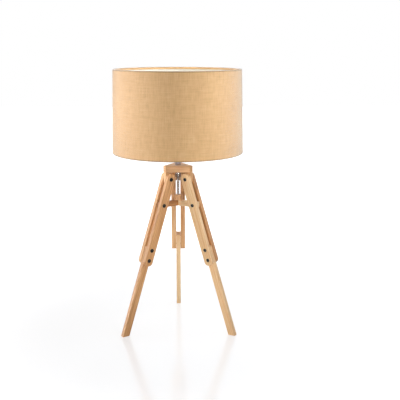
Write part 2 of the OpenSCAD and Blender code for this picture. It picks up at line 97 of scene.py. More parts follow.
class LampSizes(bpy.types.PropertyGroup):
    """Sizes of the timber, the fasteners and the shade's edges"""

    splay: FloatProperty(
        name="Leg splay", description="Angle between a leg and the vertical",
        default=math.radians(18.0), min=0.2, max=0.4, subtype="ANGLE",
    )
    cheek_w: size("Cheek width", "Width of a cheek's broad face", 0.020)
    cheek_t: size("Cheek thickness", "Thickness of a cheek", 0.011)
    cheek_end: size("Cheek end", "How far a cheek runs on past its end screws", 0.0132)
    pole_w: size("Pole width", "Width of a pole's broad face", 0.0165)
    pole_t: size("Pole thickness", "Thickness of poles, tongues and spreader arms", 0.0104)
    pole_head: size("Pole head", "How far a pole runs up past the upper clamp screw", 0.0065)
    side_gap: size("Side gap", "Clearance on each side of a pole", 0.0002)
    spreader_drop: size("Spreader screw", "From the pivot screw down to the spreader screw", 0.062)
    clamp_drop: size("Clamp screw", "From the pivot screw down to the upper clamp screw", 0.169)
    clamp_pitch: size("Clamp pitch", "Distance between the two clamp screws", 0.024)
    pivot_r: size("Pivot radius", "Distance from the lamp's axis to a pivot screw", 0.027)
    pivot_drop: size("Pivot drop", "How far a pivot screw lies under the head block", 0.0155)
    tongue_w: size("Tongue width", "Width of a tongue along the head's radius", 0.018)
    tongue_end: size("Tongue end", "How far a tongue runs on below its screw", 0.011)
    tongue_round: size("Tongue corner", "Radius of a tongue's lower corners", 0.006)
    head_r: size("Head radius", "From the axis to a cut corner of the head block", 0.036)
    arm_h: size("Arm height", "Height of a spreader arm's section", 0.013)
    ease: size("Eased edge", "Radius of the sanded edges of the timber", 0.0009)
    head_d: size("Screw head", "Diameter of the screw heads", 0.009)
    nut_d: size("Nut head", "Diameter of the sleeve nuts' heads", 0.008)
    head_t: size("Head depth", "Depth of the screw and nut heads", 0.003)
    head_sunk: size("Head sunk", "How far a head lies below the timber", 0.0002)
    screw_d: size("Screw shank", "Diameter of a screw's shank", 0.004)
    sleeve_d: size("Nut sleeve", "Diameter of the sleeve on a nut", 0.0056)
    engage: size("Engagement", "How far a screw runs into its nut's sleeve", 0.006)
    hex_af: size("Hexagon socket", "Width across the flats of a screw's socket", 0.0025)
    hole_gap: size("Hole gap", "Clearance round a screw or rod", 0.00015)
    fabric_t: size("Fabric", "Thickness of the shade's fabric", 0.0006)
    glue_t: size("Glue", "Thickness of the glue between fabric and liner", 0.0001)
    liner_t: size("Liner", "Thickness of the stiff liner", 0.0006)
    hem_h: size("Hem", "Height of the fabric turned in over a wire ring", 0.0052)
    lap_w: size("Lap seam", "Width of the glued lap down the back of the shade", 0.009)
    grips: IntProperty(
        name="Grip notches", description="Notches round the shade ring", default=24, min=6, max=60,
    )


class LampColours(bpy.types.PropertyGroup):
    """Base colours of the finishes"""

    wood_pale: colour("Pale grain", "Early wood between the growth rings", "F0CE9F")
    wood_mid: colour("Body grain", "Main tone of the timber", "E2AF7A")
    wood_dark: colour("Dark grain", "Late wood and fibres", "BA824D")
    wood_fleck: colour("Fleck", "Short ray flecks", "9F6839")
    linen_pale: colour("Pale thread", "Bleached threads of the linen", "F3CB92")
    linen_mid: colour("Linen", "Main tone of the linen", "E7B372")
    linen_dark: colour("Dark thread", "Slubs and shadows between threads", "C69454")
    # Painted shade: colour of the thin dark band that stands for the shade under each rolled edge
    linen_fold_shade: colour("Fold", "Cloth drawn tight beside the folds", "A87B4A")
    liner: colour("Liner", "Inner face of the shade", "F6F1E4")
    black: colour("Black oxide", "Socket screws", "191614")
    gunmetal: colour("Black nickel", "Sleeve nuts", "3A4043")
    zinc: colour("Zinc plate", "Tie rod and its nut", "B9B4AE")
    chrome: colour("Chrome plate", "Stem collar", "B4B9CC")
    plastic: colour("Moulded plastic", "Lampholder and shade ring", "1B1A1A")
    porcelain: colour("Porcelain", "Insert of the lampholder", "ECE8DF")
    brass: colour("Nickelled brass", "Screw shell and contacts", "D0B27A")
    enamel: colour("White enamel", "Shade's wires and collar", "E9E8E3")


def sizes():
    """The scene's sizes, as they are set now."""
    return bpy.context.scene.lamp_sizes


def colours():
    """The scene's colours, as they are set now."""
    return bpy.context.scene.lamp_colours


# ---------------------------------------------------------------------------------------------
# Materials


def feed(tree, item, inputs):
    """Fills a node's inputs. inputs maps a socket's name or number to a value or to an output socket."""
    for key, value in inputs.items():
        if isinstance(value, bpy.types.NodeSocket):
            tree.links.new(value, item.inputs[key])
        else:
            item.inputs[key].default_value = value


def add(tree, kind, inputs=None, **settings):
    """Adds one node and fills its inputs."""
    item = tree.nodes.new(kind)
    for key, value in settings.items():
        setattr(item, key, value)
    feed(tree, item, inputs or {})
    return item


def start_material(name):
    """Makes an empty material with a Principled surface; returns its tree and the surface node."""
    material = bpy.data.materials.get(name)
    if material:
        bpy.data.materials.remove(material)
    material = bpy.data.materials.new(name)
    material.use_nodes = True
    tree = material.node_tree
    tree.nodes.clear()
    surface = add(tree, "ShaderNodeBsdfPrincipled")
    add(tree, "ShaderNodeOutputMaterial", {"Surface": surface.outputs["BSDF"]})
    return tree, surface


def ramp(tree, factor, stops):
    """Colour ramp; stops are (position, linear colour)."""
    item = add(tree, "ShaderNodeValToRGB", {"Fac": factor})
    bands = item.color_ramp.elements
    while len(bands) < len(stops):
        bands.new(0.5)
    for band, (position, rgb) in zip(bands, stops):
        band.position = position
        band.color = (*rgb, 1)
    return item.outputs["Color"]


def grey(value):
    """A linear grey, also for a plain number in a ramp."""
    return (value, value, value)


def clouds(tree, place, spans, detail=2.0, roughness=0.5):
    """Soft noise. spans are the real lengths of one grain, thread or mark along X, Y and Z."""
    scale = tuple(1 / span for span in spans)
    scaled = add(tree, "ShaderNodeVectorMath", {0: place, 1: scale}, operation="MULTIPLY").outputs["Vector"]
    inputs = {"Vector": scaled, "Scale": 1.0, "Detail": detail, "Roughness": roughness}
    return add(tree, "ShaderNodeTexNoise", inputs).outputs["Fac"]


def calc(tree, operation, a, b, clamp=False):
    """Adds one step of arithmetic on numbers or sockets and returns its result's socket."""
    item = add(tree, "ShaderNodeMath", {0: a, 1: b}, operation=operation, use_clamp=clamp)
    return item.outputs["Value"]


def weigh(tree, *parts, start=0.0):
    """Adds parts, each a socket with its weight, to start."""
    for value, weight in parts:
        item = add(tree, "ShaderNodeMath", {0: value, 1: weight, 2: start}, operation="MULTIPLY_ADD")
        start = item.outputs["Value"]
    return start


def blend_colour(tree, factor, a, b):
    """Mixes two linear colours or sockets; factor 1 gives the second."""
    item = add(tree, "ShaderNodeMix", {"Factor": factor}, data_type="RGBA")
    for key, value in (("A", a), ("B", b)):
        socket = next(s for s in item.inputs if s.name == key and s.type == "RGBA")
        if isinstance(value, bpy.types.NodeSocket):
            tree.links.new(value, socket)
        else:
            socket.default_value = (*value, 1)
    return next(s for s in item.outputs if s.type == "RGBA")


def relief(tree, surface, height, depth, strength):
    """Bump of a real depth in metres."""
    item = add(tree, "ShaderNodeBump", {"Height": height, "Distance": depth, "Strength": strength})
    tree.links.new(item.outputs["Normal"], surface.inputs["Normal"])


def lacquered_timber():
    """Pale hardwood, planed and sanded, under clear satin lacquer.

    The eye sees straight growth rings 4 mm apart, broad tonal streaks, fine fibres and short flecks.
    A board's own place is in its grain attribute, so the grain runs along every board.
    """
    tree, surface = start_material("lacquered_timber")
    c = colours()
    place = add(tree, "ShaderNodeAttribute", attribute_name="grain").outputs["Vector"]
    # Each board's tone: partly its own colour, partly painted light and shade that pales or darkens it for
    # how light falls on it
    tone = add(tree, "ShaderNodeAttribute", attribute_name="board_tone_and_shade").outputs["Fac"]

    # Growth rings: distance from a pith that lies beside the board, wandering a little along it
    ring_pitch, ring_wander = 0.0042, 0.014
    wander = clouds(tree, place, (0.030, 0.030, 0.140))
    flat = add(tree, "ShaderNodeVectorMath", {0: place, 1: (1, 1, 0)}, operation="MULTIPLY").outputs["Vector"]
    radius = add(tree, "ShaderNodeVectorMath", {0: flat}, operation="LENGTH").outputs["Value"]
    radius = weigh(tree, (wander, ring_wander), start=radius)
    ring = calc(tree, "FRACT", calc(tree, "DIVIDE", radius, ring_pitch), 0)
    rings = ramp(tree, ring, [(0.0, grey(0.35)), (0.55, grey(0.5)), (0.88, grey(1.0)), (1.0, grey(0.35))])

    # Tonal streaks 4 mm wide and 75 mm long: coarse enough for a small picture to show
    streaks = clouds(tree, place, (0.004, 0.004, 0.075), detail=3, roughness=0.55)
    fibres = clouds(tree, place, (0.0007, 0.0007, 0.016), detail=3, roughness=0.65)
    flecks = clouds(tree, place, (0.0006, 0.0011, 0.0032), detail=1)
    flecks = ramp(tree, flecks, [(0.66, grey(0)), (0.74, grey(1))])

    depth = weigh(tree, (rings, 0.34), (streaks, 0.74), (fibres, 0.22), (tone, 1.0), start=-0.67)
    body = ramp(
        tree, depth, [(0.08, c.wood_pale), (0.42, c.wood_mid), (0.84, c.wood_dark), (1.0, c.wood_fleck)],
    )
    body = blend_colour(tree, calc(tree, "MULTIPLY", flecks, 0.35), body, c.wood_fleck)
    gloss = ramp(tree, fibres, [(0.3, grey(0.40)), (0.7, grey(0.54))])
    feed(tree, surface, {
        "Base Color": body, "Roughness": gloss, "IOR": 1.5, "Coat Weight": 0.25, "Coat Roughness": 0.28,
    })
    relief(tree, surface, weigh(tree, (rings, 0.5), start=fibres), 0.00012, 0.6)


def woven_linen():
    """Plain woven linen bonded to a stiff liner.

    The eye sees threads of uneven thickness both ways, slubs, and a soft sheen at the sides. The UV map
    is in metres: U round the drum and V up it.
    """
    tree, surface = start_material("woven_linen")
    c = colours()
    place = add(tree, "ShaderNodeUVMap", uv_map="cloth").outputs["UV"]

    # Threads lie 0.55 mm apart on such cloth. They are drawn 1.1 mm apart, which still shows close by.
    pitch = 0.0011
    split = add(tree, "ShaderNodeSeparateXYZ", {"Vector": place}).outputs
    across, upward = (
        calc(tree, "SINE", calc(tree, "MULTIPLY", split[axis], 2 * math.pi / pitch), 0) for axis in "XY"
    )
    weave = weigh(tree, (calc(tree, "MULTIPLY", across, upward), 0.5), start=0.5)

    # Uneven threads: streaks along the warp and the weft, and slubs
    warp = clouds(tree, place, (0.0021, 0.034, 1), detail=3, roughness=0.62)
    weft = clouds(tree, place, (0.046, 0.0019, 1), detail=3, roughness=0.62)
    mottle = clouds(tree, place, (0.012, 0.012, 1))
    # Painted shade: the cloth is darkened in a thin band beside the two folds, standing for the shade under
    # the rolled edges
    fold = add(tree, "ShaderNodeAttribute", attribute_name="fold").outputs["Fac"]
    fold_shade = calc(tree, "MULTIPLY", fold, 1.6, clamp=True)
    depth = weigh(
        tree, (warp, 0.62), (weft, 0.52), (mottle, 0.25), (weave, 0.16), (fold_shade, 0.55), start=-0.27,
    )
    body = ramp(
        tree, depth, [(0.15, c.linen_pale), (0.5, c.linen_mid), (0.9, c.linen_dark), (1.0, c.linen_fold_shade)],
    )
    feed(tree, surface, {
        "Base Color": body, "Roughness": 0.75, "Specular IOR Level": 1.0,
        "Sheen Weight": 1.0, "Sheen Roughness": 0.5, "Sheen Tint": (1.0, 1.0, 1.0, 1),
    })
    relief(tree, surface, weigh(tree, (warp, 0.8), (weft, 0.8), start=weave), 0.00022, 0.7)


def lampshade_board():
    """White lampshade board, calendered: matt, with a faint fibre print-through."""
    tree, surface = start_material("lampshade_board")
    place = add(tree, "ShaderNodeTexCoord").outputs["Object"]
    fibre = clouds(tree, place, (0.004, 0.004, 0.0015), detail=3)
    tint = [x * 0.95 for x in colours().liner]
    body = ramp(tree, fibre, [(0.3, tint), (0.7, colours().liner)])
    feed(tree, surface, {"Base Color": body, "Roughness": 0.6})
    relief(tree, surface, fibre, 0.00006, 0.4)


def plated_metal(name, rgb, roughness, scratch_across, scratch_along, spread, metallic=1.0, wear=0.0):
    """Metal with fine handling marks, whose real sizes are scratch_across and scratch_along in metres.

    spread is how far the marks change the roughness, and wear how far smudges pale the colour.
    """
    tree, surface = start_material(name)
    place = add(tree, "ShaderNodeTexCoord").outputs["Object"]
    marks = clouds(tree, place, (scratch_across, scratch_across, scratch_along), detail=3, roughness=0.6)
    gloss = ramp(tree, marks, [(0.3, grey(roughness - spread)), (0.7, grey(roughness + spread))])
    worn = [x + (1 - x) * wear for x in rgb]
    smudge = clouds(tree, place, (0.006, 0.006, 0.006))
    body = ramp(tree, smudge, [(0.35, rgb), (0.75, worn)])
    feed(tree, surface, {"Base Color": body, "Roughness": gloss, "Metallic": metallic})
    relief(tree, surface, marks, 0.00002, 0.3)


def chrome_plate():
    """Bright chromium plate over steel: a near mirror with a cool cast and a few fine wipe marks."""
    plated_metal("chrome_plate", colours().chrome, 0.07, 0.0009, 0.006, 0.03, wear=0.06)


def bright_zinc():
    """Bright zinc plate on drawn steel: soft reflections, drawn lengthwise."""
    plated_metal("bright_zinc", colours().zinc, 0.24, 0.0004, 0.012, 0.07, wear=0.15)


def black_oxide():
    """Black oxide on steel, lightly oiled: nearly black, with a dull gleam on the edges."""
    plated_metal("black_oxide", colours().black, 0.36, 0.0006, 0.0006, 0.08, metallic=0.55, wear=0.03)


def black_nickel():
    """Black nickel plate on turned steel: dark grey, with a cool gleam across its slot."""
    plated_metal("black_nickel", colours().gunmetal, 0.30, 0.0006, 0.0006, 0.07, metallic=0.8, wear=0.05)


def nickelled_brass():
    """Pressed brass sheet: warm and bright, with drawing marks."""
    plated_metal("nickelled_brass", colours().brass, 0.26, 0.0005, 0.004, 0.06, wear=0.1)


def moulded(name, rgb, roughness, grit, depth, coat=0.0):
    """A moulded, glazed or coated surface. grit and depth are the sizes of its texture in metres."""
    tree, surface = start_material(name)
    place = add(tree, "ShaderNodeTexCoord").outputs["Object"]
    grain = clouds(tree, place, (grit, grit, grit))
    cloud = clouds(tree, place, (0.02, 0.02, 0.02))
    dull = [x * 0.93 for x in rgb]
    body = ramp(tree, cloud, [(0.3, dull), (0.7, rgb)])
    gloss = ramp(tree, grain, [(0.3, grey(roughness * 0.85)), (0.7, grey(roughness * 1.15))])
    feed(tree, surface, {
        "Base Color": body, "Roughness": gloss, "Coat Weight": coat, "Coat Roughness": 0.06,
    })
    relief(tree, surface, grain, depth, 0.5)


def thermoset():
    """Black thermoset moulding with a fine spark-eroded texture."""
    moulded("thermoset", colours().plastic, 0.42, 0.0007, 0.00005)


def porcelain():
    """Glazed electrical porcelain: white, glossy, with a slightly uneven glaze."""
    moulded("porcelain", colours().porcelain, 0.22, 0.003, 0.00004, coat=0.7)


def powder_coat():
    """White powder coat on wire: satin, with orange peel 0.8 mm across."""
    moulded("powder_coat", colours().enamel, 0.38, 0.0008, 0.00005)


# ---------------------------------------------------------------------------------------------
# Shapes


def to_mesh(name, shape):
    """Closes a bmesh into a mesh with outward faces."""
    bmesh.ops.remove_doubles(shape, verts=shape.verts, dist=1e-7)
    bmesh.ops.recalc_face_normals(shape, faces=shape.faces)
    mesh = bpy.data.meshes.new(name)
    shape.to_mesh(mesh)
    shape.free()
    return mesh


def new_object(name, data):
    """Adds a mesh, lamp or camera to the scene, in place of an older object of that name."""
    old = bpy.data.objects.get(name)
    if old:
        bpy.data.objects.remove(old)
    item = bpy.data.objects.new(name, data)
    bpy.context.scene.collection.objects.link(item)
    return item


def bake(item):
    """Turns an object's modifiers into its mesh."""
    bpy.context.view_layer.update()
    graph = bpy.context.evaluated_depsgraph_get()
    mesh = bpy.data.meshes.new_from_object(item.evaluated_get(graph), depsgraph=graph)
    item.modifiers.clear()
    item.data = mesh


def crisp(mesh, angle=32):
    """Smooth shading, with every edge sharper than angle kept crisp."""
    shape = bmesh.new()
    shape.from_mesh(mesh)
    limit = math.radians(angle)
    for face in shape.faces:
        face.smooth = True
    for edge in shape.edges:
        edge.smooth = len(edge.link_faces) == 2 and edge.calc_face_angle(0) < limit
    shape.to_mesh(mesh)
    shape.free()


def crisp_object(name, shape, angle=32):
    """Turns a bmesh into an object with smooth faces and crisp edges."""
    item = new_object(name, to_mesh(name, shape))
    crisp(item.data, angle)
    return item


def even_normals(item):
    """Keeps flat faces flat beside rounded edges."""
    crisp(item.data)
    modifier = item.modifiers.new("Even normals", "WEIGHTED_NORMAL")
    modifier.keep_sharp = True
    modifier.weight = 100
    bake(item)


def paint(item, finish):
    """Gives an object one material, by its name."""
    item.data.materials.clear()
    item.data.materials.append(bpy.data.materials[finish])


def dress(item, body, slot, finish, *nodes):
    """Gives a finished piece its material and its body, and hides the CAD nodes that it stands for. slot is
    not used.
    """
    paint(item, finish)
    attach(item, body)
    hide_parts(*nodes)
    return item


def ring_section(bore, outer, low, high):
    """Section of a plain ring as points of (radius, height)."""
    return [(bore, low), (outer, low), (outer, high), (bore, high)]


def join_rings(shape, rings):
    """Makes a closed skin over rings of vertices, with a flat face at each end."""
    shape.faces.new(rings[0])
    shape.faces.new(rings[-1])
    for low, high in zip(rings, rings[1:]):
        for i in range(len(low)):
            j = (i + 1) % len(low)
            shape.faces.new([low[i], low[j], high[j], high[i]])


def lathe(profile, steps=96, swell=None):
    """Turns a closed profile of (radius, height) round Z. swell(angle, radius, height) may move a point."""
    shape = bmesh.new()
    rings = []
    for i in range(steps):
        angle = 2 * math.pi * i / steps
        ring = []
        for r, z in profile:
            if swell:
                r = swell(angle, r, z)
            ring.append(shape.verts.new((r * math.cos(angle), r * math.sin(angle), z)))
        rings.append(ring)
    count = len(profile)
    for i in range(steps):
        here, there = rings[i], rings[(i + 1) % steps]
        for k in range(count):
            m = (k + 1) % count
            if profile[k][0] < 1e-9 and profile[m][0] < 1e-9:
                continue
            corners = [here[k], there[k], there[m], here[m]]
            if profile[k][0] < 1e-9:
                corners = [here[k], there[m], here[m]]
            elif profile[m][0] < 1e-9:
                corners = [here[k], there[k], here[m]]
            shape.faces.new(corners)
    return shape


def rounded(points, radius, steps=3):
    """A closed profile with every corner rounded. A point may carry its own radius as a third number."""
    result = []
    count = len(points)
    for i, point in enumerate(points):
        here = Vector(point[:2])
        r = point[2] if len(point) > 2 else radius
        before = Vector(points[i - 1][:2]) - here
        after = Vector(points[(i + 1) % count][:2]) - here
        turn = before.angle(after)
        if r <= 0 or turn > math.radians(175):
            result.append(tuple(here))
            continue
        reach = min(r / math.tan(turn / 2), before.length * 0.45, after.length * 0.45)
        a, b = here + before.normalized() * reach, here + after.normalized() * reach
        for k in range(steps + 1):
            t = k / steps
            result.append(tuple(a * (1 - t) ** 2 + here * 2 * t * (1 - t) + b * t ** 2))
    return result


def board(outline, thickness, ease, low=0.0, limit=65):
    """A board: an outline of (across, along), thickness through from low, its edges eased.

    Only edges that turn by more than limit degrees are eased.
    """
    shape = bmesh.new()
    face = shape.faces.new([shape.verts.new((x, low, z)) for x, z in outline])
    sweep = bmesh.ops.extrude_face_region(shape, geom=[face])
    moved = [v for v in sweep["geom"] if isinstance(v, bmesh.types.BMVert)]
    bmesh.ops.translate(shape, verts=moved, vec=(0, thickness, 0))
    bmesh.ops.recalc_face_normals(shape, faces=shape.faces)
    sharp = math.radians(limit)
    edges = [e for e in shape.edges if len(e.link_faces) == 2 and e.calc_face_angle(0) > sharp]
    bmesh.ops.bevel(
        shape, geom=edges, offset=ease, segments=3, profile=0.5, affect="EDGES", clamp_overlap=True,
    )
    return shape


def arc(cx, cz, radius, first, last, steps):
    """Points on an arc, angles in degrees."""
    return [
        (cx + radius * math.cos(math.radians(first + (last - first) * i / steps)),
         cz + radius * math.sin(math.radians(first + (last - first) * i / steps)))
        for i in range(steps + 1)
    ]


def subtract(item, shape):
    """Cuts a closed bmesh out of an object."""
    tool = new_object("cutter", to_mesh("cutter", shape))
    modifier = item.modifiers.new("Cut", "BOOLEAN")
    modifier.object = tool
    modifier.operation = "DIFFERENCE"
    modifier.solver = "EXACT"
    bake(item)
    bpy.data.objects.remove(tool)


def drill(item, cutters):
    """Cuts stepped holes along Y. Each cutter is (x, z, [(radius, y), ...]) and runs out past both faces."""
    sides = 32
    turns = [2 * math.pi * i / sides for i in range(sides)]
    shape = bmesh.new()
    for x, z, steps in cutters:
        join_rings(shape, [
            [shape.verts.new((x + radius * math.cos(a), y, z + radius * math.sin(a))) for a in turns]
            for radius, y in steps
        ])
    subtract(item, shape)


def leg_place(angle):
    """From a leg's own axes to the lamp, with the origin at the leg's pivot screw.

    X points outwards, Y anticlockwise and Z up the leg.
    """
    s = sizes()
    pivot_z = HEAD_LOW.z - s.pivot_drop
    return (
        Matrix.Rotation(angle, 4, "Z")
        @ Matrix.Translation((s.pivot_r, 0, pivot_z))
        @ Matrix.Rotation(-s.splay, 4, "Y")
    )


def flat_place(angle, z):
    """For a board that lies flat: its length along the given direction, its thickness upwards."""
    along = Vector((math.cos(angle), math.sin(angle), 0))
    up = Vector((0, 0, 1))
    across = up.cross(along)
    turn = Matrix((across, up, along)).transposed().to_4x4()
    return Matrix.Translation((0, 0, z)) @ turn


def grow_timber(item, place, number, tone):
    """Records where each point lies in its board, then puts the board in its place.

    number sets which stretch of the log the board was cut from, and tone, from about 0 to 1, how dark
    it is: partly the board's own tone, partly painted light and shade set for how light falls on it.
    """
    mesh = item.data
    # The pith runs 45 to 97 mm beside the board, and boards come from 370 mm apart along it
    pith = Vector((0.045 + 0.013 * (number % 5), 0.030 * math.sin(2.1 * number), 0.37 * number))
    mesh.attributes.new("grain", "FLOAT_VECTOR", "POINT")
    mesh.attributes.new("board_tone_and_shade", "FLOAT", "POINT")
    grain, shade = mesh.attributes["grain"], mesh.attributes["board_tone_and_shade"]
    for vertex in mesh.vertices:
        grain.data[vertex.index].vector = vertex.co + pith
        shade.data[vertex.index].value = tone
    mesh.transform(place)


def timber_piece(node, shape, place, number, tone, cutters=(), made="board"):
    """Finishes a board that is drawn at the origin: holes, edges, grain, place and material."""
    name = f"{node}_{made}"
    item = new_object(name, to_mesh(name, shape))
    if cutters:
        drill(item, cutters)
    even_normals(item)
    grow_timber(item, place, number, tone)
    return dress(item, "stand", "beech", "lacquered_timber", node)


def shade_r(z):
    """Outer radius of the shade, which comes in a little from its lower edge to its upper edge."""
    lean = (WIRE_HIGH.x - TOP_WIRE_HIGH.x) / (TOP_WIRE_HIGH.z - WIRE_HIGH.z)
    return FABRIC_HIGH.x - lean * (z - FABRIC_LOW.z)


def cheek_gap():
    """Space between the two cheeks of a leg."""
    s = sizes()
    return s.pole_t + 2 * s.side_gap


# ---------------------------------------------------------------------------------------------
# Geometry Nodes


def start_tree(name, inputs):
    """An empty tree with a mesh in and out; inputs maps the names of its other inputs to their types.

    Returns the tree and its input sockets.
    """
    tree = bpy.data.node_groups.new(name, "GeometryNodeTree")
    for label, kind in {"Geometry": "Geometry", **inputs}.items():
        tree.interface.new_socket(name=label, in_out="INPUT", socket_type="NodeSocket" + kind)
    tree.interface.new_socket(name="Geometry", in_out="OUTPUT", socket_type="NodeSocketGeometry")
    return tree, add(tree, "NodeGroupInput").outputs


def end_round_axis(tree, piece, copies, first, material):
    """Ends a tree: copies a piece evenly round Z, makes the copies real and gives them their material."""
    points = add(tree, "GeometryNodePoints", {"Count": copies}).outputs["Points"]
    index = add(tree, "GeometryNodeInputIndex").outputs["Index"]
    angle = weigh(tree, (index, calc(tree, "DIVIDE", 2 * math.pi, copies)), start=first)
    spin = add(tree, "ShaderNodeCombineXYZ", {"Z": angle}).outputs["Vector"]
    around = add(
        tree, "GeometryNodeInstanceOnPoints", {"Points": points, "Instance": piece, "Rotation": spin},
    ).outputs["Instances"]
    solid = add(tree, "GeometryNodeRealizeInstances", {"Geometry": around}).outputs["Geometry"]
    painted = add(
        tree, "GeometryNodeSetMaterial", {"Geometry": solid, "Material": material},
    ).outputs["Geometry"]
    add(tree, "NodeGroupOutput", {"Geometry": painted})


def set_input(modifier, name, value):
    """Sets a tree's input by its identifier."""
    for item in modifier.node_group.interface.items_tree:
        if item.item_type == "SOCKET" and item.in_out == "INPUT" and item.name == name:
            modifier[item.identifier] = value
            return
    raise KeyError(name)


def spread_tree():
    """Copies a fastener, drawn at a pivot screw, to every screw place on every leg."""
    name = "Fasteners down the legs"
    if name in bpy.data.node_groups:
        return bpy.data.node_groups[name]
    tree, given = start_tree(name, {
        "Spreader drop": "Float", "Clamp drop": "Float", "Clamp pitch": "Float", "Pivot radius": "Float",
        "Pivot height": "Float", "Splay": "Float", "First leg": "Float", "Legs": "Int",
        "Material": "Material",
    })

    def down(distance):
        """A vector down the leg."""
        minus = calc(tree, "MULTIPLY", distance, -1.0)
        return add(tree, "ShaderNodeCombineXYZ", {"Z": minus}).outputs["Vector"]

    upper = add(
        tree, "GeometryNodeMeshLine", {"Count": 2, "Offset": down(given["Spreader drop"])}, mode="OFFSET",
    )
    lower = add(
        tree, "GeometryNodeMeshLine",
        {"Count": 2, "Start Location": down(given["Clamp drop"]), "Offset": down(given["Clamp pitch"])},
        mode="OFFSET",
    )
    places = add(tree, "GeometryNodeJoinGeometry")
    tree.links.new(upper.outputs["Mesh"], places.inputs["Geometry"])
    tree.links.new(lower.outputs["Mesh"], places.inputs["Geometry"])
    one_leg = add(
        tree, "GeometryNodeInstanceOnPoints",
        {"Points": places.outputs["Geometry"], "Instance": given["Geometry"]},
    ).outputs["Instances"]
    lean = calc(tree, "MULTIPLY", given["Splay"], -1.0)
    turned = add(tree, "ShaderNodeCombineXYZ", {"Y": lean}).outputs["Vector"]
    moved = add(
        tree, "ShaderNodeCombineXYZ", {"X": given["Pivot radius"], "Z": given["Pivot height"]},
    ).outputs["Vector"]
    leaning = add(
        tree, "GeometryNodeTransform", {"Geometry": one_leg, "Rotation": turned, "Translation": moved},
    ).outputs["Geometry"]
    end_round_axis(tree, leaning, given["Legs"], given["First leg"], given["Material"])
    return tree


def turn_tree():
    """Copies a piece round the lamp's axis a number of times."""
    name = "Round the axis"
    if name in bpy.data.node_groups:
        return bpy.data.node_groups[name]
    tree, given = start_tree(name, {"Copies": "Int", "First angle": "Float", "Material": "Material"})
    end_round_axis(tree, given["Geometry"], given["Copies"], given["First angle"], given["Material"])
    return tree


def repeat(item, tree, values):
    """Runs a Geometry Nodes tree on an object and keeps the result as a plain mesh."""
    modifier = item.modifiers.new(tree.name, "NODES")
    modifier.node_group = tree
    for key, value in values.items():
        set_input(modifier, key, value)
    bake(item)


# ---------------------------------------------------------------------------------------------
# Operators


class LAMP_OT_materials(bpy.types.Operator):
    """Make every finish of the lamp"""

    bl_idname = "lamp.materials"
    bl_label = "Finishes"

    def execute(self, context):
        for make in (
            lacquered_timber, woven_linen, lampshade_board, chrome_plate, bright_zinc, black_oxide,
            black_nickel, nickelled_brass, thermoset, porcelain, powder_coat,
        ):
            make()
        return {"FINISHED"}


class LAMP_OT_cheeks(bpy.types.Operator):
    """Build the six cheeks, two to a leg, with their round ends and screw seats"""

    bl_idname = "lamp.cheeks"
    bl_label = "Cheeks"

    def execute(self, context):
        s = sizes()
        # Each cheek's second number is its tone: partly its own, partly painted light and shade, paler or
        # darker by how light falls on that cheek
        nodes = {
            (LEFT, 1): ("left_leg_front_cheek", 0.70), (LEFT, -1): ("left_leg_back_cheek", 0.50),
            (RIGHT, -1): ("right_leg_front_cheek", 0.26), (RIGHT, 1): ("right_leg_back_cheek", 0.82),
            (REAR, 1): ("rear_leg_left_cheek", 0.38), (REAR, -1): ("rear_leg_right_cheek", 0.58),
        }
        r = s.cheek_w / 2
        run_on = s.cheek_end - r
        low = -s.clamp_drop - s.clamp_pitch - run_on
        outline = arc(0, run_on, r, 0, 180, 24) + arc(0, low, r, 180, 360, 24)
        drops = (0, s.spreader_drop, s.clamp_drop, s.clamp_drop + s.clamp_pitch)
        flare = 0.3 * MM
        past = MM
        # Side 1 holds the screws' heads, and side -1 the nuts'
        for number, ((angle, side), (node, tone)) in enumerate(nodes.items()):
            start = cheek_gap() / 2 if side > 0 else -cheek_gap() / 2 - s.cheek_t
            shape = board(outline, s.cheek_t, s.ease, start)
            face = side * (cheek_gap() / 2 + s.cheek_t)
            shank = (s.screw_d if side > 0 else s.sleeve_d) / 2 + s.hole_gap
            seat = (s.head_d if side > 0 else s.nut_d) / 2 + s.hole_gap
            steps = [
                (shank, side * (cheek_gap() / 2 - past)), (shank, face - side * s.head_t),
                (seat, face - side * s.head_t), (seat, face - side * flare),
                (seat + flare + past, face + side * past),
            ]
            cutters = [(0, -drop, steps) for drop in drops]
            timber_piece(node, shape, leg_place(angle), number, tone, cutters)
        return {"FINISHED"}


class LAMP_OT_poles(bpy.types.Operator):
    """Build the three poles, cut level at the floor"""

    bl_idname = "lamp.poles"
    bl_label = "Poles"

    def execute(self, context):
        s = sizes()
        pivot_z = HEAD_LOW.z - s.pivot_drop
        half = s.pole_w / 2
        top = -(s.clamp_drop - s.pole_head)

        def floor_at(x):
            """Place of the floor along the leg, x outwards from its middle line."""
            return -(pivot_z + x * math.sin(s.splay)) / math.cos(s.splay)

        outline = [(half, top), (-half, top), (-half, floor_at(-half)), (half, floor_at(half))]
        hole = s.screw_d / 2 + s.hole_gap
        past = MM
        steps = [(hole, -s.pole_t / 2 - past), (hole, s.pole_t / 2 + past)]
        cutters = [(0, -drop, steps) for drop in (s.clamp_drop, s.clamp_drop + s.clamp_pitch)]
        # Each pole's last number is its tone: partly its own, partly painted light and shade, paler or darker
        # by how light falls on that pole
        poles = ((LEFT, "left_pole", 0.66), (RIGHT, "right_pole", 0.28), (REAR, "rear_pole", 0.15))
        for number, (angle, node, tone) in enumerate(poles, 10):
            shape = board(outline, s.pole_t, s.ease, -s.pole_t / 2)
            item = timber_piece(node, shape, leg_place(angle), number, tone, cutters)
        return {"FINISHED"}


